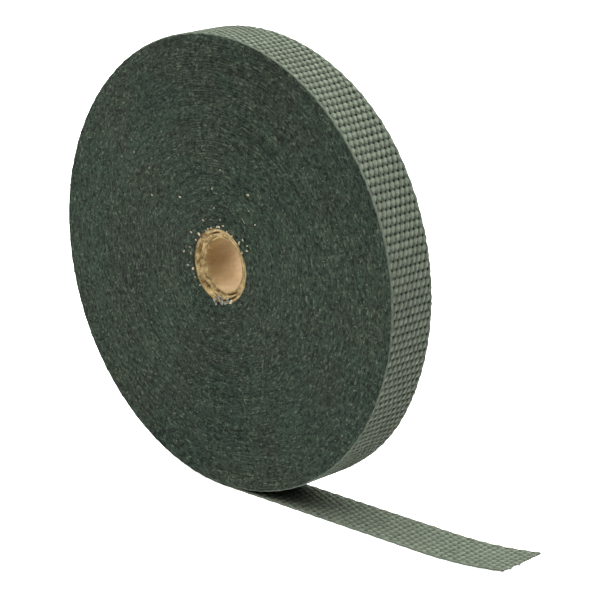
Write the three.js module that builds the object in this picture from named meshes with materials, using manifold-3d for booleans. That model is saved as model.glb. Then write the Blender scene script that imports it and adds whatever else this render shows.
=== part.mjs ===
// A roll of woven exhaust heat wrap on a cardboard core. The roll stands on its edge, and the free
// end of the tape runs out flat along the floor and curls up a little at its cut end.
// Millimetres, +Z up. The roll's axis runs along Y, and the tail runs out along +X. The origin is
// on the floor straight under the axis, at the middle of the tape's width.

import * as THREE from "three";
import { mergeVertices } from "three/addons/utils/BufferGeometryUtils.js";
import Module from "manifold-3d";

// Tape
const TAPE_WIDTH = 25.4;
const TAPE_LENGTH = 30480; // the whole tape, wound and free
const TURN_PITCH = 1.12; // thickness of a turn that its neighbours press
const FREE_THICKNESS = 1.5; // thickness where nothing presses on the tape

// Tail, measured along the tape from under the roll's axis
const TAIL_LENGTH = 165;
const TAIL_FLAT_LENGTH = 118; // the stretch that lies on the floor
const TAIL_CURL_RADIUS = 260; // of the underside, past the flat stretch
const NIP_REACH = 8; // how far past the axis the roll still presses on the tail
const SWELL_LENGTH = 22; // the stretch past the nip that swells to the free thickness

// Core
const CORE_BORE_DIAMETER = 24;
const CORE_WALL = 5.5;
const CORE_FRONT_RECESS = 1; // how far the core's front end lies inside the roll's
const CORE_BACK_RECESS = 0.3;
const CORE_FRONT_DISH = 2.6; // how much deeper the front end lies at the bore than outside
const CORE_CLEARANCE = 0.3; // between the core and the first turn

// Turn lines, the V-shaped grooves that show the turns on the roll's ends
const TURNS_PER_LINE = 13;
const LINE_WIDTH = 1;
const LINE_DEPTH = 0.6;

// Facets
const ROLL_FACETS = 72;
const LINE_FACETS = 48;
const CORE_FACETS = 48;
const CURL_FACETS = 6;

// Worked-out sizes
const CORE_BORE_RADIUS = CORE_BORE_DIAMETER / 2;
const CORE_RADIUS = CORE_BORE_RADIUS + CORE_WALL;
const CORE_FRONT = CORE_FRONT_RECESS - TAPE_WIDTH / 2;
const CORE_BACK = TAPE_WIDTH / 2 - CORE_BACK_RECESS;
const WINDING_BORE_RADIUS = CORE_RADIUS + CORE_CLEARANCE;
const WOUND_LENGTH = TAPE_LENGTH - TAIL_LENGTH;
const ROLL_RADIUS = Math.sqrt(
  WINDING_BORE_RADIUS ** 2 + (WOUND_LENGTH * TURN_PITCH) / Math.PI,
);
const FULL_TURN = 2 * Math.PI;
const ROLL_STEP = FULL_TURN / ROLL_FACETS;
const NIP_ANGLE = FULL_TURN - Math.asin(NIP_REACH / ROLL_RADIUS);

// The factor that puts the flats of a regular polygon, and not its corners, on the true circle.
const flatsOnCircle = (facets) => 1 / Math.cos(Math.PI / facets);

// The outside of the winding as (x, z), at an angle that starts under the axis and runs back along
// the tape: to the left, over the top and down the right side. Past the facet that lies on the
// floor, it comes one pitch nearer the axis each turn.
function windingPoint(angle) {
  const turns = (angle - ROLL_STEP / 2) / FULL_TURN;
  const radius = ROLL_RADIUS - TURN_PITCH * turns;
  const corner = radius * flatsOnCircle(ROLL_FACETS);
  return new THREE.Vector2(
    -corner * Math.sin(angle),
    ROLL_RADIUS - corner * Math.cos(angle),
  );
}

// A point of the tail's curled stretch, at a height over its underside and a share of its length.
function curlPoint(share, height) {
  const angle =
    (share * (TAIL_LENGTH - TAIL_FLAT_LENGTH)) / TAIL_CURL_RADIUS;
  const radius = TAIL_CURL_RADIUS - height;
  return new THREE.Vector2(
    TAIL_FLAT_LENGTH + radius * Math.sin(angle),
    TAIL_CURL_RADIUS - radius * Math.cos(angle),
  );
}

// The side view of the whole tape as one closed outline: the tail's underside, the last turn round
// the roll, the nip between the roll and the tail, and the tail's top.
function tapeOutline() {
  const outline = [];
  for (let i = CURL_FACETS; i >= 0; i -= 1) {
    outline.push(curlPoint(i / CURL_FACETS, 0));
  }
  const lastStep = NIP_ANGLE - ROLL_STEP / 2;
  for (let angle = ROLL_STEP / 2; angle < lastStep; angle += ROLL_STEP) {
    outline.push(windingPoint(angle));
  }
  outline.push(windingPoint(NIP_ANGLE));
  outline.push(new THREE.Vector2(NIP_REACH, TURN_PITCH));
  outline.push(new THREE.Vector2(NIP_REACH + SWELL_LENGTH, FREE_THICKNESS));
  for (let i = 0; i <= CURL_FACETS; i += 1) {
    outline.push(curlPoint(i / CURL_FACETS, FREE_THICKNESS));
  }
  return outline;
}

// The hole in the winding that the core fills, as a closed outline that runs the other way round.
function windingBore() {
  const corner = WINDING_BORE_RADIUS * flatsOnCircle(CORE_FACETS);
  const outline = [];
  for (let i = 0; i < CORE_FACETS; i += 1) {
    const angle = (FULL_TURN * i) / CORE_FACETS;
    outline.push(
      new THREE.Vector2(
        corner * Math.cos(angle),
        ROLL_RADIUS + corner * Math.sin(angle),
      ),
    );
  }
  return outline;
}

// The tape with plain ends: its side view drawn out over the tape's width, along Y.
function plainTape() {
  const sideView = new THREE.Shape(tapeOutline());
  sideView.holes.push(new THREE.Path(windingBore()));
  const geometry = new THREE.ExtrudeGeometry(sideView, {
    depth: TAPE_WIDTH,
    bevelEnabled: false,
  });
  geometry.rotateX(Math.PI / 2);
  geometry.translate(0, TAPE_WIDTH / 2, 0);
  return geometry;
}

// The cutter for one turn line: a ring of triangular section on the end that lies towards `side`.
function turnLineCutter(radius, side) {
  const end = TAPE_WIDTH / 2;
  const profile = [
    new THREE.Vector2(radius, side * (end - LINE_DEPTH)),
    new THREE.Vector2(radius + side * LINE_WIDTH, side * (end + LINE_DEPTH)),
    new THREE.Vector2(radius - side * LINE_WIDTH, side * (end + LINE_DEPTH)),
  ];
  profile.push(profile[0].clone());
  const geometry = new THREE.LatheGeometry(profile, LINE_FACETS);
  geometry.translate(0, 0, ROLL_RADIUS);
  return geometry;
}

// The radii of the turn lines, counted out from the core.
function turnLineRadii() {
  const spacing = TURNS_PER_LINE * TURN_PITCH;
  const outermost = ROLL_RADIUS - TURN_PITCH - LINE_WIDTH;
  const radii = [];
  for (
    let radius = WINDING_BORE_RADIUS + spacing;
    radius < outermost;
    radius += spacing
  ) {
    radii.push(radius);
  }
  return radii;
}

// The cardboard tube with its dished front end, turned about its own axis.
function coreTube() {
  const inner = CORE_BORE_RADIUS * flatsOnCircle(CORE_FACETS);
  const profile = [
    new THREE.Vector2(inner, CORE_FRONT + CORE_FRONT_DISH),
    new THREE.Vector2(CORE_RADIUS, CORE_FRONT),
    new THREE.Vector2(CORE_RADIUS, CORE_BACK),
    new THREE.Vector2(inner, CORE_BACK),
  ];
  profile.push(profile[0].clone());
  return new THREE.LatheGeometry(profile, CORE_FACETS);
}

const wasm = await Module();
wasm.setup();

// A closed geometry as a solid that can be cut.
function toSolid(geometry) {
  const bare = geometry.clone();
  bare.deleteAttribute("normal");
  bare.deleteAttribute("uv");
  const merged = mergeVertices(bare);
  return new wasm.Manifold(
    new wasm.Mesh({
      numProp: 3,
      vertProperties: merged.attributes.position.array,
      triVerts: new Uint32Array(merged.index.array),
    }),
  );
}

// A solid as a geometry that can be drawn.
function toGeometry(solid) {
  const { vertProperties, triVerts } = solid.getMesh();
  const geometry = new THREE.BufferGeometry();
  geometry.setAttribute(
    "position",
    new THREE.BufferAttribute(vertProperties, 3),
  );
  geometry.setIndex(new THREE.BufferAttribute(triVerts, 1));
  geometry.computeVertexNormals();
  return geometry;
}

// The whole tape: winding and tail in one piece, with the turn lines cut in both ends.
function heatWrapTape() {
  let solid = toSolid(plainTape());
  for (const radius of turnLineRadii()) {
    for (const side of [-1, 1]) {
      solid = solid.subtract(toSolid(turnLineCutter(radius, side)));
    }
  }
  const cloth = new THREE.MeshStandardMaterial({
    color: 0x4b544c,
    roughness: 0.9,
    metalness: 0,
  });
  const mesh = new THREE.Mesh(toGeometry(solid), cloth);
  mesh.name = "heat_wrap_tape";
  return mesh;
}

// The core, in the middle of the roll.
function cardboardCore() {
  const cardboard = new THREE.MeshStandardMaterial({
    color: 0xb98f63,
    roughness: 0.85,
    metalness: 0,
  });
  const mesh = new THREE.Mesh(coreTube(), cardboard);
  mesh.name = "cardboard_core";
  mesh.position.set(0, 0, ROLL_RADIUS);
  return mesh;
}

const roll = new THREE.Group();
roll.add(heatWrapTape(), cardboardCore());

export default roll;
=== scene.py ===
"""A roll of woven exhaust heat wrap on a cardboard core, dressed over its solid model.

The tape is woven yarn by yarn along its last turn and its free end. Inside that turn, the ends of
the roll show the selvages of all the turns within. The core is a tube of wound board plies.
"""

import logging
import math
from dataclasses import dataclass, field
from enum import Enum

import bpy
import numpy as np
from mathutils import Matrix


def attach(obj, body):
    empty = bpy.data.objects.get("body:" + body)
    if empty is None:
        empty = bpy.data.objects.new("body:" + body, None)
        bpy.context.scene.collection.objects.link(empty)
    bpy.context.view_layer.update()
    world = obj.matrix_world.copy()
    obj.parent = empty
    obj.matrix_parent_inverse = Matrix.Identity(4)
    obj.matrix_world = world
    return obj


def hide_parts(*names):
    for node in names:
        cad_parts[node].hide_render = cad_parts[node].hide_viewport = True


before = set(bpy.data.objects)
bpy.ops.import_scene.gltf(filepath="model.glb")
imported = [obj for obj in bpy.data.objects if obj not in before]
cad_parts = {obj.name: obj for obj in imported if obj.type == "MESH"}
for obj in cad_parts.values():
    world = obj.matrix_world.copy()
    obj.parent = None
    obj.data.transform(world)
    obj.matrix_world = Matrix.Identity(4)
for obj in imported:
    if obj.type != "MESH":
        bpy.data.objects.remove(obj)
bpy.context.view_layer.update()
LOG = logging.getLogger("heat_wrap")
MM = 0.001
Array = np.ndarray
Random = np.random.Generator
Piece = bpy.types.Object
Look = bpy.types.Material
BODY = "root"
TAPE = ("heat_wrap_cloth", "heat_wrap_tape")
CORE = ("core_cardboard", "cardboard_core")
ROLL_RADIUS = 105.472 * MM
WINDING_BORE = 17.8 * MM
CORE_BORE = 12.0 * MM


class End(Enum):
    """The two ends of the roll, by the way that each one faces along Y."""

    FRONT = -1
    BACK = 1


# Shader nodes

NOISE_ROUGHNESS = 0.6
MATT_SPECULAR = 0.25


class Value:
    """A shader socket that takes part in sums, so that masks read as arithmetic."""

    def __init__(self, sheet: "NodeSheet", socket: bpy.types.NodeSocket) -> None:
        """Keeps the socket and the sheet that it is on."""
        self.sheet = sheet
        self.socket = socket

    def _math(self, operation: str, other: "Value | float") -> "Value":
        """Adds one Math node that takes this value first."""
        return self.sheet.node("ShaderNodeMath", {"operation": operation}, {0: self, 1: other})

    def __add__(self, other: "Value | float") -> "Value":
        """Adds."""
        return self._math("ADD", other)

    def __sub__(self, other: "Value | float") -> "Value":
        """Subtracts."""
        return self._math("SUBTRACT", other)

    def __mul__(self, other: "Value | float") -> "Value":
        """Multiplies."""
        return self._math("MULTIPLY", other)

    def ramp(self, low: float, high: float) -> "Value":
        """Runs from 0 at low to 1 at high, and stays there past them."""
        inputs = {"Value": self, "From Min": low, "From Max": high}
        return self.sheet.node("ShaderNodeMapRange", {"clamp": True}, inputs)


Colour = tuple[float, float, float]
Cycles = tuple[float, float, float]
Input = Value | float | tuple


@dataclass(frozen=True)
class Layer:
    """One noise of a finish.

    It has cycles a metre along each axis of the object, or of the piece's UV map, and finer noises
    over it by its detail. It is ramped from low to high, and counts by its share.
    """

    cycles: Cycles
    detail: float
    low: float
    high: float
    share: float = 1.0
    uv: bool = False


class NodeSheet:
    """The node tree of one material, with one method that adds every kind of node."""

    def __init__(self, name: str) -> None:
        """Starts a material with an empty tree."""
        self.material = bpy.data.materials.new(name)
        self.material.use_nodes = True
        self.tree = self.material.node_tree
        self.tree.nodes.clear()

    def node(
        self,
        kind: str,
        settings: dict[str, object],
        inputs: dict[str | int, Input],
        out: str | int = 0,
    ) -> Value:
        """Adds a node.

        Args:
            kind: the node's type.
            settings: its properties, which are set first.
            inputs: values or links for its sockets, by name or number.
            out: the output that is wanted.

        Returns:
            That output as a Value.
        """
        made = self.tree.nodes.new(kind)
        for name, value in settings.items():
            setattr(made, name, value)
        for name, value in inputs.items():
            socket = made.inputs[name]
            if isinstance(value, Value):
                self.tree.links.new(value.socket, socket)
            elif isinstance(value, tuple) and len(value) == 3 and socket.type == "RGBA":
                socket.default_value = (*value, 1.0)
            else:
                socket.default_value = value
        return Value(self, made.outputs[out])

    def noise(self, layer: Layer) -> Value:
        """Adds a layer's bare noise, from 0 to 1."""
        source = self.node("ShaderNodeTexCoord", {}, {}, "UV" if layer.uv else "Object")
        where = self.node("ShaderNodeMapping", {}, {"Vector": source, "Scale": layer.cycles})
        inputs = {"Vector": where, "Scale": 1.0, "Detail": layer.detail}
        inputs["Roughness"] = NOISE_ROUGHNESS
        return self.node("ShaderNodeTexNoise", {}, inputs)

    def weighed(self, layer: Layer, noise: Value | None = None) -> Value:
        """A layer's noise, or the one that is given, ramped and weighed by its share."""
        noise = noise or self.noise(layer)
        return noise.ramp(layer.low, layer.high) * layer.share

    def mix(self, share: Value | float, first: Value | Colour, second: Value | Colour) -> Value:
        """A colour that runs from the first to the second."""
        settings = {"data_type": "RGBA"}
        return self.node("ShaderNodeMix", settings, {0: share, 6: first, 7: second}, 2)

    def finish(
        self,
        colour: Value | Colour,
        rough: Value | float,
        height: Value | None,
        depth: float,
        sheen: float,
    ) -> Look:
        """Ends the sheet in one surface shader.

        Args:
            colour: the base colour.
            rough: the roughness.
            height: the relief, from 0 to 1, or None.
            depth: the height of that relief in metres.
            sheen: how much a fuzzy nap catches the light.

        Returns:
            The finished material.
        """
        inputs: dict[str | int, Input] = {"Base Color": colour, "Roughness": rough}
        inputs["Sheen Weight"] = sheen
        inputs["Specular IOR Level"] = MATT_SPECULAR
        if height is not None:
            relief = {"Height": height, "Distance": depth, "Strength": 1.0}
            inputs["Normal"] = self.node("ShaderNodeBump", {}, relief)
        surface = self.node("ShaderNodeBsdfPrincipled", {}, inputs)
        out = self.tree.nodes.new("ShaderNodeOutputMaterial")
        self.tree.links.new(surface.socket, out.inputs["Surface"])
        return self.material


@dataclass(frozen=True)
class YarnFinish:
    """Texturised mineral yarn: matt grey-green filaments that lie along the strand.

    Where a yarn dips under another, its tone and colour are painted darker towards the hollow
    shade: painted shade in the hollows of the weave. The hollow's two values say how light the
    tone and the colour stay there.
    """

    name: str
    light: Colour
    dark: Colour
    # painted shade: the colour that a yarn is darkened towards where it dips under another
    hollow_shade: Colour = (0.012, 0.016, 0.011)
    hollow_light: float = 0.62
    hollow_tone: float = 0.25
    filament: Layer = Layer((260.0, 2600.0, 1.0), 4.0, 0.35, 0.65, 0.26, uv=True)
    a_float: Layer = Layer((270.0, 1.0, 1.0), 1.0, 0.3, 0.7, 0.30, uv=True)
    patch: Layer = Layer((60.0, 60.0, 60.0), 3.0, 0.3, 0.7, 0.14)
    fuzz: Layer = Layer((1000.0, 1000.0, 1000.0), 3.0, 0.38, 0.62, 0.30)
    roughness: float = 0.85
    relief: float = 0.4 * MM
    sheen: float = 0.08

    def material(self) -> Look:
        """The yarn's material. Its UV map is in metres along and round the strand."""
        sheet = NodeSheet(self.name)
        filament, fuzz = sheet.noise(self.filament), sheet.noise(self.fuzz)
        tone = sheet.weighed(self.a_float) + sheet.weighed(self.patch)
        tone = tone + sheet.weighed(self.filament, filament) + sheet.weighed(self.fuzz, fuzz)
        # painted shade: the crown attribute darkens the tone and the colour where the yarn dips
        crown = sheet.node("ShaderNodeAttribute", {"attribute_name": "crown"}, {}, "Fac")
        tone = tone * (crown * (1.0 - self.hollow_tone) + self.hollow_tone)
        colour = sheet.mix(tone, self.dark, self.light)
        lit = crown * (1.0 - self.hollow_light) + self.hollow_light
        colour = sheet.mix(lit, self.hollow_shade, colour)
        height = filament * 0.5 + fuzz * 0.5
        return sheet.finish(colour, self.roughness, height, self.relief, self.sheen)


@dataclass(frozen=True)
class EdgeFinish:
    """The selvages of the wound turns: felted yarn darkened and tinted green as painted shade
    between the turns, with pale lint, partly painted glints, and black painted shade in its pits.
    """

    name: str
    light: Colour
    dark: Colour
    warm: Colour
    lint_and_glints: Colour
    # painted shade: the near-black colour of the pits
    pit: Colour = (0.003, 0.004, 0.003)
    streak: Layer = Layer((300.0, 620.0, 1.0), 2.0, 0.42, 0.58, 0.36, uv=True)
    clump: Layer = Layer((560.0, 560.0, 560.0), 2.0, 0.42, 0.58, 0.28)
    fibre: Layer = Layer((420.0, 1300.0, 1.0), 2.0, 0.43, 0.57, 0.10, uv=True)
    ring: Layer = Layer((3.0, 130.0, 1.0), 3.0, 0.35, 0.65, 0.12, uv=True)
    patch: Layer = Layer((22.0, 22.0, 22.0), 5.0, 0.36, 0.64, 0.14)
    hue: Layer = Layer((30.0, 30.0, 30.0), 5.0, 0.42, 0.58)
    nap: Layer = Layer((330.0, 480.0, 1.0), 1.0, 0.56, 0.74, 0.35, uv=True)
    # pale specks of lint, partly painted glints
    lint_and_glint_specks: Layer = Layer((760.0, 760.0, 760.0), 1.0, 0.66, 0.76, 0.6)
    # painted shade: where the pits are
    pits: Layer = Layer((600.0, 600.0, 600.0), 1.0, 0.60, 0.67, 0.8)
    roughness: float = 0.9
    relief: float = 0.8 * MM
    sheen: float = 0.05

    def material(self) -> Look:
        """The material. Its UV map is in metres along the tape and out from the axis."""
        sheet = NodeSheet(self.name)
        streak, clump = sheet.noise(self.streak), sheet.noise(self.clump)
        fibre = sheet.noise(self.fibre)
        tone = sheet.weighed(self.streak, streak) + sheet.weighed(self.clump, clump)
        tone = tone + sheet.weighed(self.fibre, fibre)
        tone = tone + sheet.weighed(self.ring) + sheet.weighed(self.patch)
        light = sheet.mix(sheet.weighed(self.hue), self.light, self.warm)
        colour = sheet.mix(tone, self.dark, light)
        colour = sheet.mix(sheet.weighed(self.nap), colour, self.lint_and_glints)
        # pale lint specks, partly painted glints
        colour = sheet.mix(sheet.weighed(self.lint_and_glint_specks), colour, self.lint_and_glints)
        # painted shade: black spots in the pits of the felt
        colour = sheet.mix(sheet.weighed(self.pits), colour, self.pit)
        height = streak * 0.35 + clump * 0.4 + fibre * 0.25
        return sheet.finish(colour, self.roughness, height, self.relief, self.sheen)


@dataclass(frozen=True)
class BoardFinish:
    """Grey-brown wound board: smooth and blotched in the bore, torn at the ply ends.

    The tears at the ply ends are streaked with painted shade. Inside the bore, a painted shade
    covers one side of a slanting line through the roll's axis, darkening the front and upper part
    of the bore. The ply ends start a little outside the bore.
    """

    name: str
    light: Colour
    dark: Colour
    raw: Colour
    # painted shade: the near-black brown of the tears at the ply ends
    crack: Colour
    # painted shade: the colour of the front and upper part of the bore
    bore_shade: Colour
    centre: float
    bore: float
    blotch: Layer = Layer((170.0, 70.0, 170.0), 4.0, 0.3, 0.7, 0.6)
    pulp: Layer = Layer((900.0, 700.0, 900.0), 3.0, 0.3, 0.7, 0.4)
    torn: Layer = Layer((230.0, 520.0, 1.0), 3.0, 0.40, 0.54, 0.6, uv=True)
    frayed: Layer = Layer((560.0, 700.0, 1.0), 2.0, 0.38, 0.62, 0.4, uv=True)
    bore_shade_slant: float = 0.7
    bore_shade_edge: float = 12.0 * MM
    ends_from: float = 0.25 * MM
    ends_to: float = 0.6 * MM
    roughness: float = 0.85
    relief: float = 0.9 * MM

    def material(self) -> Look:
        """The board's material. Its rings are centred on the roll's axis."""
        sheet = NodeSheet(self.name)
        blotch, pulp = sheet.noise(self.blotch), sheet.noise(self.pulp)
        tone = sheet.weighed(self.blotch, blotch) + sheet.weighed(self.pulp, pulp)
        smooth = sheet.mix(tone, self.dark, self.light)
        source = sheet.node("ShaderNodeTexCoord", {}, {}, "Object")
        depth = sheet.node("ShaderNodeSeparateXYZ", {}, {0: source}, "Y")
        height = sheet.node("ShaderNodeSeparateXYZ", {}, {0: source}, "Z")
        # painted shade: darkens the bore on the front and upper side of a slanting line
        drift = depth - (height - self.centre) * self.bore_shade_slant
        drift = drift + (blotch - 0.5) * self.bore_shade_edge
        smooth = sheet.mix(drift.ramp(-self.bore_shade_edge, self.bore_shade_edge), self.bore_shade, smooth)
        on_axis = {"Vector": source, "Location": (0.0, 0.0, -self.centre), "Scale": (1.0, 0.0, 1.0)}
        level = sheet.node("ShaderNodeMapping", {}, on_axis)
        out = sheet.node("ShaderNodeVectorMath", {"operation": "LENGTH"}, {0: level}, "Value")
        torn = sheet.noise(self.torn)
        worn = sheet.weighed(self.torn, torn) + sheet.weighed(self.frayed)
        # painted shade: the crack colour darkens the ply ends where the torn relief is low
        ends = sheet.mix(worn, self.crack, self.raw)
        past_bore = out.ramp(self.bore + self.ends_from, self.bore + self.ends_to)
        colour = sheet.mix(past_bore, smooth, ends)
        relief = pulp * 0.3 + torn * 0.7 * past_bore
        return sheet.finish(colour, self.roughness, relief, self.relief, 0.0)


@dataclass(frozen=True)
class ChipFinish:
    """Torn paper pulp, mottled."""

    name: str
    light: Colour
    dark: Colour
    pulp: Layer = Layer((1500.0, 1500.0, 1500.0), 3.0, 0.38, 0.62)
    roughness: float = 0.9
    relief: float = 0.4 * MM

    def material(self) -> Look:
        """The pulp's material."""
        sheet = NodeSheet(self.name)
        pulp = sheet.noise(self.pulp)
        colour = sheet.mix(sheet.weighed(self.pulp, pulp), self.dark, self.light)
        return sheet.finish(colour, self.roughness, pulp, self.relief, 0.0)


CLOTH = YarnFinish("heat_wrap_yarn", light=(0.246, 0.292, 0.212), dark=(0.056, 0.070, 0.047))
SELVAGE = YarnFinish(
    "selvage_yarn", light=(0.235, 0.275, 0.208), dark=(0.085, 0.103, 0.075), hollow_light=0.6
)
# painted shade: the cloth darkened almost to black, for the turn below and the free end's holes
SHADE_BELOW = YarnFinish("turn_below_painted_shade", light=(0.045, 0.055, 0.042), dark=(0.010, 0.014, 0.010))
# painted shade: far darker and greener than the yarn's own colour, for the shade between the packed turns
SHADED_EDGE = EdgeFinish(
    "wound_selvages_painted_shade",
    light=(0.052, 0.092, 0.060),
    dark=(0.001, 0.002, 0.001),
    warm=(0.061, 0.088, 0.058),
    lint_and_glints=(0.24, 0.29, 0.20),
)
LINT = YarnFinish("pale_lint", light=(0.42, 0.44, 0.32), dark=(0.16, 0.18, 0.13))
CHIP = ChipFinish("board_chips", light=(0.90, 0.80, 0.56), dark=(0.52, 0.42, 0.26))
SCRAP = ChipFinish("grey_scraps", light=(0.46, 0.46, 0.38), dark=(0.06, 0.06, 0.045))


# Meshes

SEAM = 1e-7
STRAND_CORNERS = 6
HALF_WIDTHS_ROUND = 4.0


def only(piece: Piece) -> None:
    """Makes one piece active and the only one selected."""
    bpy.ops.object.select_all(action="DESELECT")
    piece.select_set(True)
    bpy.context.view_layer.objects.active = piece


def eased(part: Array) -> Array:
    """Runs from 0 to 1 with a level start and a level end."""
    return part * part * (3 - 2 * part)


def smooth_noise(rng: Random, along: Array, spacing: float) -> Array:
    """Noise from -1 to 1 that changes smoothly along a line.

    Args:
        rng: the source of its random values.
        along: places along the line.
        spacing: the distance between two random values.

    Returns:
        The noise at those places.
    """
    t = (along - along.min()) / spacing
    knots = rng.uniform(-1, 1, int(t.max()) + 3)
    cell = np.floor(t).astype(int)
    part = eased(t - cell)
    return knots[cell] * (1 - part) + knots[cell + 1] * part


def grid_uv(rows: Array, columns: Array) -> Array:
    """Pattern coordinates of a grid, from those of its rows and of its columns."""
    return np.stack(np.broadcast_arrays(rows[:, None], columns[None, :]), axis=2)


def round_axis(radius: Array, turn: Array, centre: float) -> tuple[Array, Array]:
    """The x and z of points round the roll's axis, by angles that start straight under it."""
    return -radius * np.sin(turn), centre - radius * np.cos(turn)


def shaped_sheet(
    name: str,
    points: Array,
    uv: Array,
    merge: bool = True,
    crown: Array | None = None,
) -> Piece:
    """A grid of faces that is moved, point by point, into its final shape.

    Args:
        name: the piece's name.
        points: its places in metres, as rows by columns by 3.
        uv: its pattern coordinates in metres, as rows by columns by 2.
        merge: whether points that meet, such as those of a seam, become one.
        crown: how near each row is to the top of its yarn's wave, from 0 to 1, which the yarn's
            material paints as shade. None is 1 for all.

    Returns:
        The piece.
    """
    rows, columns = points.shape[:2]
    bpy.ops.mesh.primitive_grid_add(x_subdivisions=columns - 1, y_subdivisions=rows - 1, size=1.0)
    piece = bpy.context.object
    piece.name = piece.data.name = name
    mesh = piece.data
    mesh.vertices.foreach_set("co", points.astype(np.float32).ravel())
    corners = np.zeros(len(mesh.loops), dtype=np.int32)
    mesh.loops.foreach_get("vertex_index", corners)
    layer = mesh.uv_layers.active or mesh.uv_layers.new(name="UVMap")
    layer.data.foreach_set("uv", uv.reshape(-1, 2)[corners].astype(np.float32).ravel())
    height = np.ones(rows) if crown is None else crown
    wave = mesh.attributes.new("crown", "FLOAT", "POINT")
    wave.data.foreach_set("value", np.repeat(height, columns).astype(np.float32))
    mesh.update()
    if merge:
        only(piece)
        bpy.ops.object.mode_set(mode="EDIT")
        bpy.ops.mesh.select_all(action="SELECT")
        bpy.ops.mesh.remove_doubles(threshold=SEAM)
        bpy.ops.mesh.normals_make_consistent(inside=False)
        bpy.ops.object.mode_set(mode="OBJECT")
    return piece


def joined(name: str, pieces: list[Piece]) -> Piece:
    """Joins pieces into one, smooth shaded, under one name."""
    bpy.ops.object.select_all(action="DESELECT")
    for piece in pieces:
        piece.select_set(True)
    bpy.context.view_layer.objects.active = pieces[0]
    if len(pieces) > 1:
        bpy.ops.object.join()
    whole = bpy.context.view_layer.objects.active
    whole.name = whole.data.name = name
    bpy.ops.object.shade_smooth()
    return whole


def dressed(piece: Piece, look: Look, slot: str, node: str) -> None:
    """Gives a piece its material and its body, and hides the node that it stands for."""
    piece.data.materials.clear()
    piece.data.materials.append(look)
    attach(piece, BODY)
    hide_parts(node)
    LOG.info("%s: %d faces", piece.name, len(piece.data.polygons))


def strand(
    name: str,
    middle: Array,
    side: Array,
    out: Array,
    half: Array,
    uv_start: float,
    crown: Array | None = None,
) -> Piece:
    """One yarn: a flat tube round a middle line, closed at both ends.

    Args:
        name: the piece's name.
        middle: the middle line, n by 3, in metres.
        side: the direction of the yarn's width at each point, n by 3.
        out: the direction of its thickness, n by 3.
        half: half its width and half its thickness at each point, n by 2.
        uv_start: where its pattern starts, so that no two yarns match.
        crown: how near each point is to the top of the yarn's wave, from 0 to 1, which its
            material paints as shade. None is 1 for all.

    Returns:
        The yarn.
    """
    turn = np.linspace(0, 2 * np.pi, STRAND_CORNERS + 1) + np.pi / STRAND_CORNERS
    turn[-1] = turn[0]
    wide, thick = half[:, :1, None], half[:, 1:, None]
    ring = wide * np.cos(turn)[None, :, None] * side[:, None, :]
    ring = ring + thick * np.sin(turn)[None, :, None] * out[:, None, :]
    points = middle[:, None, :] + ring
    step = np.linalg.norm(np.diff(middle, axis=0), axis=1)
    along = np.concatenate([[0.0], np.cumsum(step)]) + uv_start
    around = np.linspace(0, 1, STRAND_CORNERS + 1) * HALF_WIDTHS_ROUND * half[:, 0].mean()
    uv = grid_uv(along, around)
    return shaped_sheet(name, points, uv, crown=crown)


# The tape


@dataclass
class TapeRun:
    """The way that the tape takes: from its free end, under the roll and round it.

    A place on it is a length along the tape, a height over its underside, which is the outside of
    the roll, and a distance across its width. On the roll the tape fluffs out by its loft, and the
    back edge of the last turn stands off by up to its slack, in an upper and a lower gap.
    """

    radius: float
    width: float = 25.4 * MM
    pitch: float = 1.12 * MM
    free_thickness: float = 1.5 * MM
    tail: float = 165.0 * MM
    flat: float = 118.0 * MM
    curl_radius: float = 260.0 * MM
    nip: float = 8.0 * MM
    swell: float = 22.0 * MM
    loft: float = 0.15 * MM
    loft_reach: float = 20.0 * MM
    slack: float = 1.05 * MM
    upper_gap: float = 1.26 * math.pi
    upper_gap_spread: float = 0.42
    lower_gap: float = 1.72 * math.pi
    lower_gap_spread: float = 0.26
    lower_gap_share: float = 0.8

    def thickness(self, along: Array) -> Array:
        """How thick the tape is at each length along it."""
        past = (self.tail - along - self.nip) / self.swell
        return self.pitch + (self.free_thickness - self.pitch) * np.clip(past, 0, 1)

    def turned(self, along: Array) -> Array:
        """The angle round the roll that the tape has reached, from under the axis."""
        wound = np.maximum(along - self.tail, 0)
        loss = self.pitch / (2 * np.pi)
        return (self.radius - np.sqrt(np.maximum(self.radius**2 - 2 * loss * wound, 0))) / loss

    def loose(self, angle: Array) -> Array:
        """How far the last turn's back edge stands off the roll at each angle round it."""
        upper = np.exp(-(((angle - self.upper_gap) / self.upper_gap_spread) ** 2))
        lower = np.exp(-(((angle - self.lower_gap) / self.lower_gap_spread) ** 2))
        return self.slack * (upper + self.lower_gap_share * lower)

    def place(self, along: Array, height: Array, across: Array) -> Array:
        """Finds points of the frame for places on the tape.

        Args:
            along: lengths along the tape from its free end.
            height: heights over its underside.
            across: distances from the middle of its width, towards the back.

        Returns:
            The points, n by 3, in metres.
        """
        reach = self.tail - along
        bend = np.maximum(reach - self.flat, 0) / self.curl_radius
        lying = self.curl_radius - height
        x = np.minimum(np.maximum(reach, 0), self.flat) + lying * np.sin(bend)
        z = self.curl_radius - lying * np.cos(bend)
        angle = self.turned(along)
        fluff = self.loft * np.clip((along - self.tail) / self.loft_reach, 0, 1)
        fluff = fluff + self.loose(angle) * np.clip(2 * across / self.width, 0, 1)
        rim = self.radius - self.pitch * angle / (2 * np.pi) - height + fluff
        on_roll = along > self.tail
        round_x, round_z = round_axis(rim, angle, self.radius)
        x = np.where(on_roll, round_x, x)
        z = np.where(on_roll, round_z, z)
        return np.stack([x, across + np.zeros_like(x), z], axis=1)

    def outward(self, along: Array) -> Array:
        """The direction from the underside to the top of the tape, n by 3."""
        zero = np.zeros_like(along)
        return (self.place(along, zero + MM, zero) - self.place(along, zero, zero)) / MM


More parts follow.
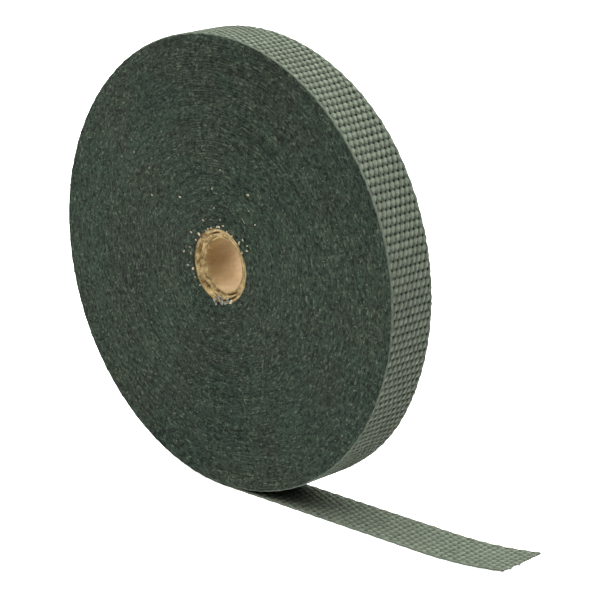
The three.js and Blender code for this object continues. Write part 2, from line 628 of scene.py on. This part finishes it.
@dataclass
class WovenTurn:
    """The last turn and the free end, woven of warp yarns and one weft that runs to and fro.

    An end is one warp yarn and a pick is one crossing of the weft. The tail lies flatter than the
    roll's turn: its yarns wave by the tail's share only. Selvage cords lie behind the edges.
    """

    run: TapeRun
    ends: int = 17
    end_pitch: float = 1.42 * MM
    pick_pitch: float = 3.62 * MM
    past_full_turn: float = 14.0 * MM
    lean: float = 0.34 * MM
    wander: float = 0.20 * MM
    sink: float = 0.06 * MM
    tail_share: float = 0.62
    tail_reach: float = 30.0 * MM
    hold: float = 1.8
    fray: tuple[float, float] = (-0.4, 0.5)
    long_end: float = 0.8
    warp_half_width: float = 0.50 * MM
    float_half_width: float = 0.62 * MM
    weft_edge: float = 0.75 * MM
    weft_loop: float = 0.2 * MM
    weft_thick: float = 0.19
    weft_wave: float = 0.25
    cord_edge: float = 0.70 * MM
    cord_step: float = 0.9 * MM
    cord_height: float = 0.45
    front_ripple: float = 0.3
    back_ripple: float = 0.8
    fill_start: float = 2.2 * MM
    fill_past_tail: float = 12.0 * MM
    fill_edge: float = 0.9 * MM
    first_pick: float = 1.5 * MM
    steps_a_pick: int = 4
    seed: int = 7
    rng: Random = field(init=False)

    def __post_init__(self) -> None:
        """Starts the random source."""
        self.rng = np.random.default_rng(self.seed)

    @property
    def length(self) -> float:
        """The woven length, from the free end to just past one full turn."""
        turn = 2 * np.pi * (self.run.radius - self.run.pitch / 2)
        return self.run.tail + turn + self.past_full_turn

    def warp(self, number: int) -> Piece:
        """Lays one warp yarn, over one pick and under the next.

        Args:
            number: its place across the tape, from 0 at the front.

        Returns:
            The yarn.
        """
        run, rng = self.run, self.rng
        start = (rng.uniform(*self.fray) - self.long_end * (number // 2 % 2)) * MM
        step = self.pick_pitch / self.steps_a_pick
        first = self.first_pick - step
        along = np.concatenate([[start], np.arange(first, self.length, step)])
        beat = np.pi * ((along - self.first_pick) / self.pick_pitch + number)
        swing = np.cos(beat)
        flat_swing = np.tanh(self.hold * swing) / math.tanh(self.hold)
        lift = np.abs(swing) ** 0.4
        thick = run.thickness(along)
        half_thick = thick * (0.14 + 0.12 * lift) * (1 + 0.08 * smooth_noise(rng, along, 5 * MM))
        on_roll = np.clip((along - run.tail) / self.tail_reach, 0, 1)
        ease = self.tail_share + (1 - self.tail_share) * on_roll
        height = thick / 2 + flat_swing * ease * (thick / 2 - half_thick)
        height = height - self.sink * (1 + smooth_noise(rng, along, 4 * MM))
        across = (number - (self.ends - 1) / 2) * self.end_pitch + self.lean * np.sin(beat)
        across = across + self.wander * smooth_noise(rng, along, 6 * MM)
        half_wide = self.warp_half_width + self.float_half_width * lift
        half_wide = half_wide * (1 + 0.22 * smooth_noise(rng, along, 2.5 * MM))
        taper = np.clip((along - start) / (1.8 * MM) + 0.55, 0, 1)
        end = np.clip((self.length - along) / MM + 0.05, 0, 1)
        shrink = taper * end
        half = np.stack([half_wide * shrink, half_thick * shrink], axis=1)
        side = np.broadcast_to(np.array([0.0, 1.0, 0.0]), (len(along), 3))
        middle = run.place(along, height, across)
        # painted shade: the crown is lowest where the yarn crosses between picks, and the free end is dimmed
        # as a whole
        crown = 1 - (0.4 + 0.6 * ease) * (1 - np.clip(np.abs(swing), 0, 1) ** 0.5)
        crown = crown * (self.tail_share + (1 - self.tail_share) * ease)
        uv_start = 0.9 * number
        return strand(f"warp_{number}", middle, side, run.outward(along), half, uv_start, crown)

    def weft(self) -> Piece:
        """Lays the weft: pick after pick across the tape, turned back round its edges."""
        run, rng = self.run, self.rng
        picks = int(self.length / self.pick_pitch)
        edge = self.run.width / 2 - self.weft_edge
        columns = []
        for pick in range(picks):
            way = 1 if pick % 2 else -1
            across = way * np.linspace(-edge, edge, 2 * self.ends + 1)
            along = np.full_like(across, pick * self.pick_pitch + self.first_pick)
            loop = np.pi * np.array([0.25, 0.5, 0.75])
            out = way * (edge + self.weft_loop * np.sin(loop))
            back = (pick + (1 - np.cos(loop)) / 2) * self.pick_pitch + self.first_pick
            both = [np.concatenate([across, out]), np.concatenate([along, back])]
            columns.append(np.stack(both, axis=1))
        path = np.concatenate(columns)
        across, along = path[:, 0], path[:, 1]
        inside = np.clip((edge - np.abs(across)) / MM, 0, 1)
        thick = run.thickness(along)
        pick_number = np.round((along - self.first_pick) / self.pick_pitch)
        end_number = across / self.end_pitch + (self.ends - 1) / 2
        swing = -np.cos(np.pi * (pick_number + end_number)) * inside
        half_thick = thick * self.weft_thick
        height = thick / 2 + swing * (thick * 0.5 - half_thick) * self.weft_wave
        uneven = 1 + 0.08 * smooth_noise(rng, np.arange(len(path)) * 1.0, 5.0)
        half_wide = (0.50 + 0.74 * inside) * MM * uneven
        half = np.stack([half_wide, half_thick * (1 + 0.5 * (1 - inside))], axis=1)
        middle = run.place(along, height, across)
        heading = np.gradient(middle, axis=0)
        out = run.outward(along)
        side = np.cross(out, heading)
        side = side / np.linalg.norm(side, axis=1)[:, None]
        # painted shade: the weft's crown is a half all along, which darkens it among the warp yarns
        return strand("weft", middle, side, out, half, 40.0, 0.5 + 0.0 * along)

    def selvage(self, side_way: int) -> Piece:
        """Lays the corded edge that the weft's turns make on one side of the tape.

        Args:
            side_way: -1 for the front edge and 1 for the back edge.

        Returns:
            The cord.
        """
        run, rng = self.run, self.rng
        along = np.arange(0.0, self.length, self.cord_step)
        thick = run.thickness(along)
        ripple = np.cos(np.pi * along / self.pick_pitch - (side_way > 0) * np.pi / 2)
        ripple = ripple * (self.back_ripple if side_way > 0 else self.front_ripple)
        half_thick = thick * (0.40 + 0.09 * ripple + 0.05 * smooth_noise(rng, along, 3 * MM))
        half_wide = (0.56 + 0.07 * ripple + 0.06 * smooth_noise(rng, along, 4 * MM)) * MM
        across = side_way * (run.width / 2 - self.cord_edge + 0.24 * MM * ripple)
        across = across + 0.06 * MM * smooth_noise(rng, along, 7 * MM)
        taper = np.clip((along - along[0]) / (1.5 * MM) + 0.4, 0, 1)
        half = np.stack([half_wide * taper, half_thick * taper], axis=1)
        side = np.broadcast_to(np.array([0.0, 1.0, 0.0]), (len(along), 3))
        middle = run.place(along, thick * self.cord_height, across)
        # painted shade: the cord is darker where its ripple dips
        crown = 0.65 + 0.35 * ripple
        uv_start = 60.0 + side_way
        return strand(f"selvage_{side_way}", middle, side, run.outward(along), half, uv_start, crown)

    def fill(self) -> Piece:
        """A dark sheet inside the free end that fills the holes of its weave with painted shade."""
        run = self.run
        along = np.linspace(self.fill_start, run.tail + self.fill_past_tail, 60)
        across = np.linspace(-1, 1, 4) * (run.width / 2 - self.fill_edge)
        height = run.thickness(along) * self.cord_height
        rows = [run.place(along, height, np.full_like(along, place)) for place in across]
        points = np.stack(rows, axis=1)
        uv = grid_uv(along, across)
        return joined("tail_fill", [shaped_sheet("tail_fill", points, uv, merge=False)])

    def build(self) -> list[Piece]:
        """Weaves the warp, the weft and the two selvages, as three pieces."""
        warp = joined("tape_warp", [self.warp(i) for i in range(self.ends)])
        weft = joined("tape_weft", [self.weft()])
        selvages = joined("tape_selvages", [self.selvage(-1), self.selvage(1)])
        return [warp, weft, selvages]


@dataclass
class WoundTurns:
    """The turns within the last one: their selvages on both ends, and the drum that they make."""

    run: TapeRun
    bore: float = WINDING_BORE
    steps_a_turn: int = 360
    valley: float = 0.42 * MM
    outer_valley: float = 1.1 * MM
    crest: float = 0.12 * MM
    tallest: float = 0.35 * MM
    pull: float = 0.08 * MM
    pull_length: float = 7.24 * MM
    tuft: float = 0.28 * MM
    drum_turns_in: float = 2.05
    drum_steps: int = 144
    below_turns_in: float = 0.78
    below_edge: float = 0.5 * MM
    below_steps: int = 288
    seed: int = 21

    @property
    def turns(self) -> int:
        """How many whole turns lie between the core and the last turn."""
        return int((self.run.radius - self.run.pitch - self.bore) / self.run.pitch)

    def selvages(self, end: End) -> Piece:
        """Winds the edges of the turns on one end: one ridge from the last turn in to the core.

        Args:
            end: the end of the roll.

        Returns:
            The ridge.
        """
        run = self.run
        rng = np.random.default_rng(self.seed + end.value)
        turn_steps = self.steps_a_turn
        count = (self.turns + 1) * turn_steps + 1
        angle = np.arange(count + turn_steps) * (2 * np.pi / turn_steps)
        edge = run.radius - 0.06 * MM - run.pitch * angle / (2 * np.pi)
        mean = (edge[1:] + edge[:-1]) / 2
        along = np.concatenate([[0.0], np.cumsum(mean * (2 * np.pi / turn_steps))])
        settled = np.clip(angle / np.pi, 0, 1)
        wander = 0.22 * MM * smooth_noise(rng, along, 7 * MM) * settled
        low = run.width / 2 - self.valley + 0.2 * MM * smooth_noise(rng, along, 5 * MM)
        low = np.where(angle < 2 * np.pi, run.width / 2 - self.outer_valley, low)
        outer, inner = (edge + wander)[:count], (edge + wander)[turn_steps:]
        share = np.array([0.0, 0.3, 0.7, 1.0])
        radius = outer[:, None] * (1 - share) + inner[:, None] * share
        offset = 0.14 * MM * smooth_noise(rng, along, 180 * MM)
        offset = offset + 0.10 * MM * smooth_noise(rng, along, 16 * MM)
        beat = 2 * np.pi * along / self.pull_length + 3 * smooth_noise(rng, along, 60 * MM)
        crest = (run.width / 2 - self.crest + offset + self.pull * np.cos(beat))[:count]
        tuft = [self.tuft * smooth_noise(rng, along[:count], gap * MM) for gap in (1.9, 2.3)]
        y = np.stack([low[:count], crest + tuft[0], crest + tuft[1], low[turn_steps:]], axis=1)
        y = np.minimum(y, run.width / 2 + self.tallest)
        turn = angle[:count, None]
        x, z = round_axis(radius, turn, run.radius)
        points = np.stack([x, end.value * y, z], axis=2)
        uv = np.stack([np.broadcast_to(along[:count, None], radius.shape), radius], axis=2)
        piece = shaped_sheet(f"selvages_{end.name.lower()}", points, uv)
        return joined(piece.name, [piece])

    def drum(self) -> Piece:
        """The plain body of the roll under the selvages and the last turn."""
        run = self.run
        inner, outer = self.bore, run.radius - self.drum_turns_in * run.pitch
        half = run.width / 2 - self.valley - 0.3 * MM
        corners = [(inner, -half), (outer, -half), (outer, half), (inner, half), (inner, -half)]
        profile = np.array(corners)
        turn = np.linspace(0, 2 * np.pi, self.drum_steps + 1)
        turn[-1] = 0.0
        x, z = round_axis(profile[:, 0][None, :], turn[:, None], run.radius)
        y = np.broadcast_to(profile[:, 1][None, :], x.shape)
        points = np.stack([x, y, z], axis=2)
        uv = np.stack([x, z], axis=2)
        return shaped_sheet("inner_windings", points, uv)

    def under_turn(self) -> Piece:
        """The outside of the turn that the last one lies on, seen in the gaps of its weave."""
        run = self.run
        one_turn = 2 * np.pi * run.radius
        along = np.linspace(run.tail, run.tail + one_turn - 4 * MM, self.below_steps)
        angle = run.turned(along)
        rim = run.radius - run.pitch * angle / (2 * np.pi) - self.below_turns_in * run.pitch
        across = np.linspace(-1, 1, 12) * (run.width / 2 - self.below_edge)
        rim = rim[:, None] + run.loose(angle)[:, None] * np.clip(2 * across / run.width, 0, 1)
        x, z = round_axis(rim, angle[:, None], run.radius)
        points = np.stack([x, np.broadcast_to(across, x.shape), z], axis=2)
        uv = grid_uv(along, across)
        return shaped_sheet("turn_below", points, uv, merge=False)

    def build(self) -> list[Piece]:
        """Both ends, the drum and the turn below."""
        front, back = self.selvages(End.FRONT), self.selvages(End.BACK)
        return [front, back, self.drum(), self.under_turn()]


# The core


@dataclass
class BoardCore:
    """The cardboard tube: plies wound on one another, stepped and torn at the front end.

    Turns round it count from straight under the axis, towards the left. The front end is dished
    most at the left. It is torn most near the worst turn, and notched near the notch's.
    """

    centre: float
    bore: float = CORE_BORE
    wall: float = 5.5 * MM
    front: float = 11.7 * MM
    back: float = 12.4 * MM
    dish: float = 2.7 * MM
    dish_swing: float = 0.9 * MM
    back_dish: float = 0.2 * MM
    back_torn: float = 0.35
    chamfer: float = 0.3 * MM
    bore_columns: int = 9
    fine_tear: float = 0.45 * MM
    coarse_tear: float = 0.70 * MM
    crack_depth: float = 4.0 * MM
    wave: float = 0.42 * MM
    ply_places: tuple[float, ...] = (0.10, 0.36, 0.62)
    crack_places: tuple[float, ...] = (0.74, 0.94)
    least_torn: float = 0.10
    plies: int = 3
    steps: int = 240
    worst_turn: float = 0.19
    notch_turn: float = 0.985
    notch_width: float = 0.03
    notch_depth: float = 2.2 * MM
    seed: int = 5

    def end_profile(
        self, rng: Random, height: float, dish: Array, torn: float
    ) -> tuple[Array, Array]:
        """The radii and heights of one end, from the bore to the outside.

        Args:
            rng: the source of the tears.
            height: how far the outermost ply stands out along the axis.
            dish: how much deeper the innermost ply ends, at each step round the tube.
            torn: how ragged the plies are, from 0 to 1.

        Returns:
            Radii, steps by columns, and heights, steps by columns.
        """
        ply = self.wall / self.plies
        turn = np.arange(self.steps) / self.steps
        near_worst = np.clip(np.cos(2 * np.pi * (turn - self.worst_turn)) + 0.35, 0, 1)
        worst = torn * (self.least_torn + (1 - self.least_torn) * near_worst)
        radii, heights = [], []
        for number in range(self.plies):
            inner = self.bore + number * ply
            top = height - dish * (1 - (number + 0.5) / self.plies)
            ragged = worst * self.fine_tear * self._round_noise(rng, turn, 80)
            ragged = ragged + worst * self.coarse_tear * self._round_noise(rng, turn, 19)
            opened = np.clip(self._round_noise(rng, turn, 17) + 0.35, 0, 1)
            crack = worst * opened * self.crack_depth
            if number == self.plies - 1:
                gap = np.clip(1.6 - np.abs(turn - self.notch_turn) / self.notch_width, 0, 1)
                ragged = ragged - torn * gap * self.notch_depth
            wave = worst * self.wave * self._round_noise(rng, turn, 23)
            tilt = dish / self.plies
            for share in self.ply_places:
                radii.append(inner + share * ply + wave * min(1.0, number + share))
                heights.append(top + ragged + tilt * (share - 0.4))
            if number < self.plies - 1:
                for share in self.crack_places:
                    radii.append(inner + share * ply + wave * 0.7)
                    heights.append(top + tilt * 0.45 - 0.15 * MM * worst - crack)
        return np.stack(radii, axis=1) + np.zeros((self.steps, 1)), np.stack(heights, axis=1)

    def _round_noise(self, rng: Random, turn: Array, knots: int) -> Array:
        """Noise from -1 to 1 that closes on itself round the tube."""
        values = rng.uniform(-1, 1, knots)
        t = turn * knots
        cell = np.floor(t).astype(int)
        part = eased(t - cell)
        return values[cell % knots] * (1 - part) + values[(cell + 1) % knots] * part

    def build(self) -> Piece:
        """The whole tube as one closed skin."""
        rng = np.random.default_rng(self.seed)
        ones = np.ones((self.steps, 1))
        leftward = np.sin(2 * np.pi * np.arange(self.steps) / self.steps)
        front_dish = self.dish + self.dish_swing * leftward
        front_r, front_h = self.end_profile(rng, self.front, front_dish, 1.0)
        back_dish = self.back_dish * ones[:, 0]
        back_r, back_h = self.end_profile(rng, self.back, back_dish, self.back_torn)
        outside = ones * (self.bore + self.wall)
        bore_y = np.linspace(-0.72 * self.front, 0.9 * self.back, self.bore_columns)[::-1]
        bore_r = ones * np.full(self.bore_columns, self.bore)
        radii = [front_r, outside, outside, back_r[:, ::-1], bore_r]
        heights = [-front_h, -ones * (self.front - self.chamfer), ones * (self.back - self.chamfer)]
        heights = heights + [back_h[:, ::-1], ones * bore_y]
        radius, height = np.concatenate(radii, axis=1), np.concatenate(heights, axis=1)
        radius, height = (np.pad(grid, ((0, 1), (0, 1)), mode="wrap") for grid in (radius, height))
        turn = np.arange(self.steps + 1)[:, None] / self.steps * 2 * np.pi
        turn[-1] = 0.0
        x, z = round_axis(radius, turn, self.centre)
        points = np.stack([x, height, z], axis=2)
        step = np.hypot(np.diff(radius, axis=1), np.diff(height, axis=1)).mean(axis=0)
        reach = np.concatenate([[0.0], np.cumsum(step)])
        round_way = np.linspace(0, 1, self.steps + 1) * 2 * np.pi * self.bore
        uv = grid_uv(round_way, reach)
        piece = shaped_sheet("core_tube", points, uv)
        return joined("core_tube", [piece])


# Crumbs of board and lint on the front


@dataclass
class Litter:
    """Small chips of board, grey scraps and pale bits of yarn that cling to the roll's front.

    A chip or scrap is given as the pixel of the photograph that shows it, from the left and from
    the top, and its width in mm before the spread. One stray bit of yarn is placed the same way.
    """

    view: "View"
    radius: float
    bore: float = WINDING_BORE
    plane: float = -12.75 * MM
    fibres: int = 300
    stray_pixel: tuple[float, float] = (243.7, 223.5)
    stray_length: float = 4.8 * MM
    stray_turn: float = -1.9
    spread: float = 1.7
    seed: int = 11
    chips: tuple[tuple[float, float, float], ...] = (
        (152, 195, 0.7), (180, 197, 0.9), (212, 189, 0.6), (248, 195, 1.0), (227, 232, 0.7), (217, 227, 0.9),
        (191, 232, 0.9), (199, 234, 1.3), (211, 228, 0.8), (220, 170, 0.5), (149, 168, 0.5), (249, 211, 0.5),
        (134, 152, 0.5), (214, 208, 0.6), (203, 220, 0.8), (239, 243, 1.0), (242, 253, 0.8), (247, 251, 0.9),
        (184, 251, 0.8), (190, 247, 0.6), (193, 269, 0.9), (195, 277, 0.6), (220, 220, 0.6), (223, 226, 0.8),
        (255, 225, 0.6), (196, 240, 0.7), (206, 231, 0.7), (232, 236, 0.6), (231, 302, 1.5), (243, 240, 0.9),
        (247, 246, 0.7), (208, 229, 0.8), (219, 227, 0.9), (193, 268, 0.8),
    )
    scraps: tuple[tuple[float, float, float], ...] = (
        (215, 300, 1.8), (220, 298, 2.2), (222, 302, 2.2), (228, 300, 1.9), (226, 303, 1.6), (216, 303, 1.5),
        (188, 265, 1.1), (191, 253, 1.0), (192, 250, 0.8), (200, 285, 0.9), (190, 262, 0.8), (194, 274, 0.8),
    )

    def flake(self) -> Piece:
        """Makes one chip: a small lump that is squashed flat and knocked out of round."""
        bpy.ops.mesh.primitive_ico_sphere_add(subdivisions=2, radius=0.5)
        piece = bpy.context.object
        rng = np.random.default_rng(self.seed)
        for vertex in piece.data.vertices:
            vertex.co *= rng.uniform(0.65, 1.1)
            vertex.co.y *= 0.45
            vertex.co.z *= 0.6
        return piece

    def bit(self) -> Piece:
        """One bit of yarn: a short thin curve, thinner at its ends."""
        t = np.linspace(-0.5, 0.5, 5)
        middle = np.stack([t, 0.12 - 0.5 * t * t, 0.35 * t * t], axis=1)
        side = np.broadcast_to(np.array([0.0, 0.0, 1.0]), (5, 3))
        out = np.broadcast_to(np.array([0.0, 1.0, 0.0]), (5, 3))
        half = np.array([0.3, 0.9, 1.0, 0.9, 0.3])[:, None] * np.array([[0.075, 0.065]])
        return strand("bit", middle, side, out, half, 0.0)

    def laid(
        self, model: Piece, x: float, z: float, size: float, turn: float
    ) -> Piece:
        """A copy of a model, with its own mesh, laid on the front.

        Args:
            model: the piece to copy.
            x: its place across the front.
            z: its height.
            size: its length.
            turn: how far it is turned round Y.

        Returns:
            The copy.
        """
        piece = bpy.data.objects.new(model.name, model.data.copy())
        bpy.context.scene.collection.objects.link(piece)
        place = Matrix.Translation((x, self.plane, z)) @ Matrix.Rotation(turn, 4, "Y")
        piece.data.transform(place @ Matrix.Scale(size, 4))
        return piece

    def build(self) -> list[Piece]:
        """The chips of board, the grey scraps and the bits of yarn, as three pieces."""
        rng = np.random.default_rng(self.seed)
        flake, bit = self.flake(), self.bit()
        chips, scraps = [], []
        for pieces, places in ((chips, self.chips), (scraps, self.scraps)):
            for px, py, size in places:
                x, z = self.view.on_front(px, py, self.plane)
                size = size * self.spread * MM
                pieces.append(self.laid(flake, x, z, size, rng.uniform(0, 2 * np.pi)))
        bits = []
        while len(bits) < self.fibres:
            out = self.radius * math.sqrt(rng.uniform(0, 1)) ** 1.15
            turn = rng.uniform(0, 2 * np.pi)
            size, twist = rng.uniform(0.6, 1.5) * MM, rng.normal(0, 0.7)
            if self.bore + MM < out < self.radius - 2 * MM:
                x, z = out * math.cos(turn), self.radius + out * math.sin(turn)
                bits.append(self.laid(bit, x, z, size, math.pi / 2 - turn + twist))
        x, z = self.view.on_front(*self.stray_pixel, self.plane)
        bits.append(self.laid(bit, x, z, self.stray_length, self.stray_turn))
        bpy.data.objects.remove(flake)
        bpy.data.objects.remove(bit)
        named = {"board_chips": chips, "grey_scraps": scraps, "yarn_bits": bits}
        return [joined(name, pieces) for name, pieces in named.items()]


# The studio


@dataclass(frozen=True)
class View:
    """The camera, fitted to the outline of the roll and its tail in the photograph."""

    place: tuple[float, float, float] = (0.69623, -0.65599, 0.36297)
    yaw: float = 0.78704
    pitch: float = 0.28156
    roll: float = -0.02561
    lens: float = 131.45
    sensor: float = 36.0
    pixels: float = 600.0
    nearest: float = 0.01

    def axes(self) -> Array:
        """The directions right, up and ahead, as columns."""
        yaw, pitch = self.yaw, self.pitch
        flat = math.cos(pitch)
        ahead = np.array([-math.sin(yaw) * flat, math.cos(yaw) * flat, -math.sin(pitch)])
        level = np.array([math.cos(yaw), math.sin(yaw), 0.0])
        steep = np.cross(level, ahead)
        right = math.cos(self.roll) * level + math.sin(self.roll) * steep
        up = -math.sin(self.roll) * level + math.cos(self.roll) * steep
        return np.stack([right, up, ahead], axis=1)

    def on_front(self, px: float, py: float, plane: float) -> tuple[float, float]:
        """The point of an upright plane that a pixel of the photograph shows.

        Args:
            px: pixels from the left.
            py: pixels from the top.
            plane: the plane's place along Y.

        Returns:
            The point's x and z.
        """
        middle = self.pixels / 2
        focal = self.lens / self.sensor * self.pixels
        ray = self.axes() @ np.array([(px - middle) / focal, (middle - py) / focal, 1.0])
        reach = (plane - self.place[1]) / ray[1]
        return self.place[0] + reach * ray[0], self.place[2] + reach * ray[2]

    def build(self) -> None:
        """Adds the camera."""
        turn = self.axes() * np.array([1.0, 1.0, -1.0])
        data = bpy.data.cameras.new("camera")
        data.sensor_width = self.sensor
        data.lens = self.lens
        data.clip_start = self.nearest
        camera = bpy.data.objects.new("camera", data)
        bpy.context.scene.collection.objects.link(camera)
        camera.matrix_world = Matrix.Translation(self.place) @ Matrix(turn.tolist()).to_4x4()
        bpy.context.scene.camera = camera


@dataclass(frozen=True)
class Lamp:
    """A square soft light: where it hangs, what it points at, its side and its power."""

    name: str
    place: tuple[float, float, float]
    target: tuple[float, float, float]
    side: float
    watts: float

    def turn(self) -> Matrix:
        """The rotation that points the lamp's -Z at its target."""
        back = np.array(self.place) - np.array(self.target)
        back = back / np.linalg.norm(back)
        right = np.cross((0.0, 0.0, 1.0), back)
        right = right / np.linalg.norm(right)
        return Matrix(np.stack([right, np.cross(back, right), back], axis=1).tolist())

    def build(self) -> None:
        """Adds the light."""
        data = bpy.data.lights.new(self.name, "AREA")
        data.shape = "SQUARE"
        data.size = self.side
        data.energy = self.watts
        lamp = bpy.data.objects.new(self.name, data)
        bpy.context.scene.collection.objects.link(lamp)
        lamp.location = self.place
        lamp.rotation_euler = self.turn().to_euler()


KEY_LIGHT = Lamp("key_light", place=(1.3, 0.3, 1.5), target=(0.0, 0.0, 0.1), side=1.4, watts=4.5)
BACK_LIGHT = Lamp(
    "back_light", place=(0.25, 0.95, 0.85), target=(0.0, 0.0, 0.105), side=0.5, watts=4.0
)


@dataclass(frozen=True)
class Studio:
    """A white floor and backdrop that glow, so that no shadow shows, and soft light.

    The floor and the backdrop throw no diffuse light on the part. The light that a real floor
    throws up comes from the lower half of the sky. A stop of the sky is a height, from -1 straight
    below to 1 straight above, and the brightness there.
    """

    floor_glow: float = 1.0
    floor_side: float = 12.0
    floor_drop: float = 0.2 * MM
    wall_radius: float = 5.5
    wall_height: float = 8.0
    white: Colour = (0.9, 0.9, 0.9)
    sky_power: float = 5.6
    sky_stops: tuple[tuple[float, float], ...] = (
        (-1.0, 0.86), (-0.7, 0.48), (-0.3, 0.02), (0.0, 0.0),
        (0.3, 0.01), (0.55, 0.09), (0.8, 0.46), (1.0, 1.0),
    )

    def floor(self) -> Piece:
        """A wide white floor, just under the part."""
        under = (0, 0, -self.floor_drop)
        bpy.ops.mesh.primitive_plane_add(size=self.floor_side, location=under)
        floor = bpy.context.object
        floor.name = "studio_floor"
        floor.visible_diffuse = False
        sheet = NodeSheet("studio_floor")
        floor.data.materials.append(sheet.finish(self.white, 0.9, None, 0.0, 0.0))
        shader = sheet.tree.nodes["Principled BSDF"]
        shader.inputs["Emission Color"].default_value = (1.0, 1.0, 1.0, 1.0)
        shader.inputs["Emission Strength"].default_value = self.floor_glow
        return floor

    def backdrop(self, floor: Piece) -> None:
        """A round wall in the floor's white, far round the part, that throws no light on it."""
        bpy.ops.mesh.primitive_cylinder_add(
            vertices=64, radius=self.wall_radius, depth=self.wall_height, end_fill_type="NOTHING"
        )
        wall = bpy.context.object
        wall.name = "studio_backdrop"
        wall.visible_diffuse = wall.visible_glossy = wall.visible_shadow = False
        wall.data.materials.append(floor.data.materials[0])

    def sky(self, world: bpy.types.World) -> None:
        """A bright soft ceiling, dim walls and the glow that a white floor throws up."""
        tree = world.node_tree
        way = tree.nodes.new("ShaderNodeTexCoord").outputs["Generated"]
        parts = tree.nodes.new("ShaderNodeSeparateXYZ")
        tree.links.new(way, parts.inputs[0])
        ramp = tree.nodes.new("ShaderNodeValToRGB")
        lift = tree.nodes.new("ShaderNodeMapRange")
        lift.inputs["From Min"].default_value = -1.0
        tree.links.new(parts.outputs["Z"], lift.inputs["Value"])
        tree.links.new(lift.outputs[0], ramp.inputs[0])
        stops = ramp.color_ramp.elements
        while len(stops) < len(self.sky_stops):
            stops.new(0.5)
        for stop, (height, glow) in zip(stops, self.sky_stops):
            stop.position = (height + 1) / 2
            stop.color = (glow, glow, glow, 1.0)
        background = tree.nodes["Background"]
        tree.links.new(ramp.outputs[0], background.inputs["Color"])
        background.inputs["Strength"].default_value = self.sky_power

    def build(self) -> None:
        """Sets the whole studio up."""
        scene = bpy.context.scene
        scene.view_settings.view_transform = "Standard"
        world = bpy.data.worlds.new("studio")
        world.use_nodes = True
        self.sky(world)
        scene.world = world
        self.backdrop(self.floor())
        KEY_LIGHT.build()
        BACK_LIGHT.build()


def main() -> None:
    """Builds the studio, the tape and the core."""
    logging.basicConfig(level=logging.INFO)
    view = View()
    view.build()
    Studio().build()
    run = TapeRun(radius=ROLL_RADIUS)
    cloth = CLOTH.material()
    edge = SHADED_EDGE.material()
    woven = WovenTurn(run)
    warp, weft, selvages = woven.build()
    dressed(warp, cloth, *TAPE)
    dressed(weft, cloth, *TAPE)
    dressed(selvages, SELVAGE.material(), *TAPE)
    # painted shade on the tail's fill and on the turn below
    below = SHADE_BELOW.material()
    dressed(woven.fill(), below, *TAPE)
    for piece in WoundTurns(run).build():
        dressed(piece, below if piece.name == "turn_below" else edge, *TAPE)
    core = BoardCore(centre=run.radius).build()
    board = BoardFinish(
        "core_board",
        light=(0.82, 0.64, 0.42),
        dark=(0.60, 0.42, 0.22),
        raw=(0.66, 0.495, 0.24),
        crack=(0.15, 0.080, 0.015),
        # painted shade of the bore
        bore_shade=(0.30, 0.185, 0.055),
        centre=run.radius,
        bore=CORE_BORE,
    )
    dressed(core, board.material(), *CORE)
    chips, scraps, bits = Litter(view, run.radius).build()
    dressed(chips, CHIP.material(), *CORE)
    dressed(scraps, SCRAP.material(), *CORE)
    dressed(bits, LINT.material(), *TAPE)


if __name__ == "__main__":
    main()
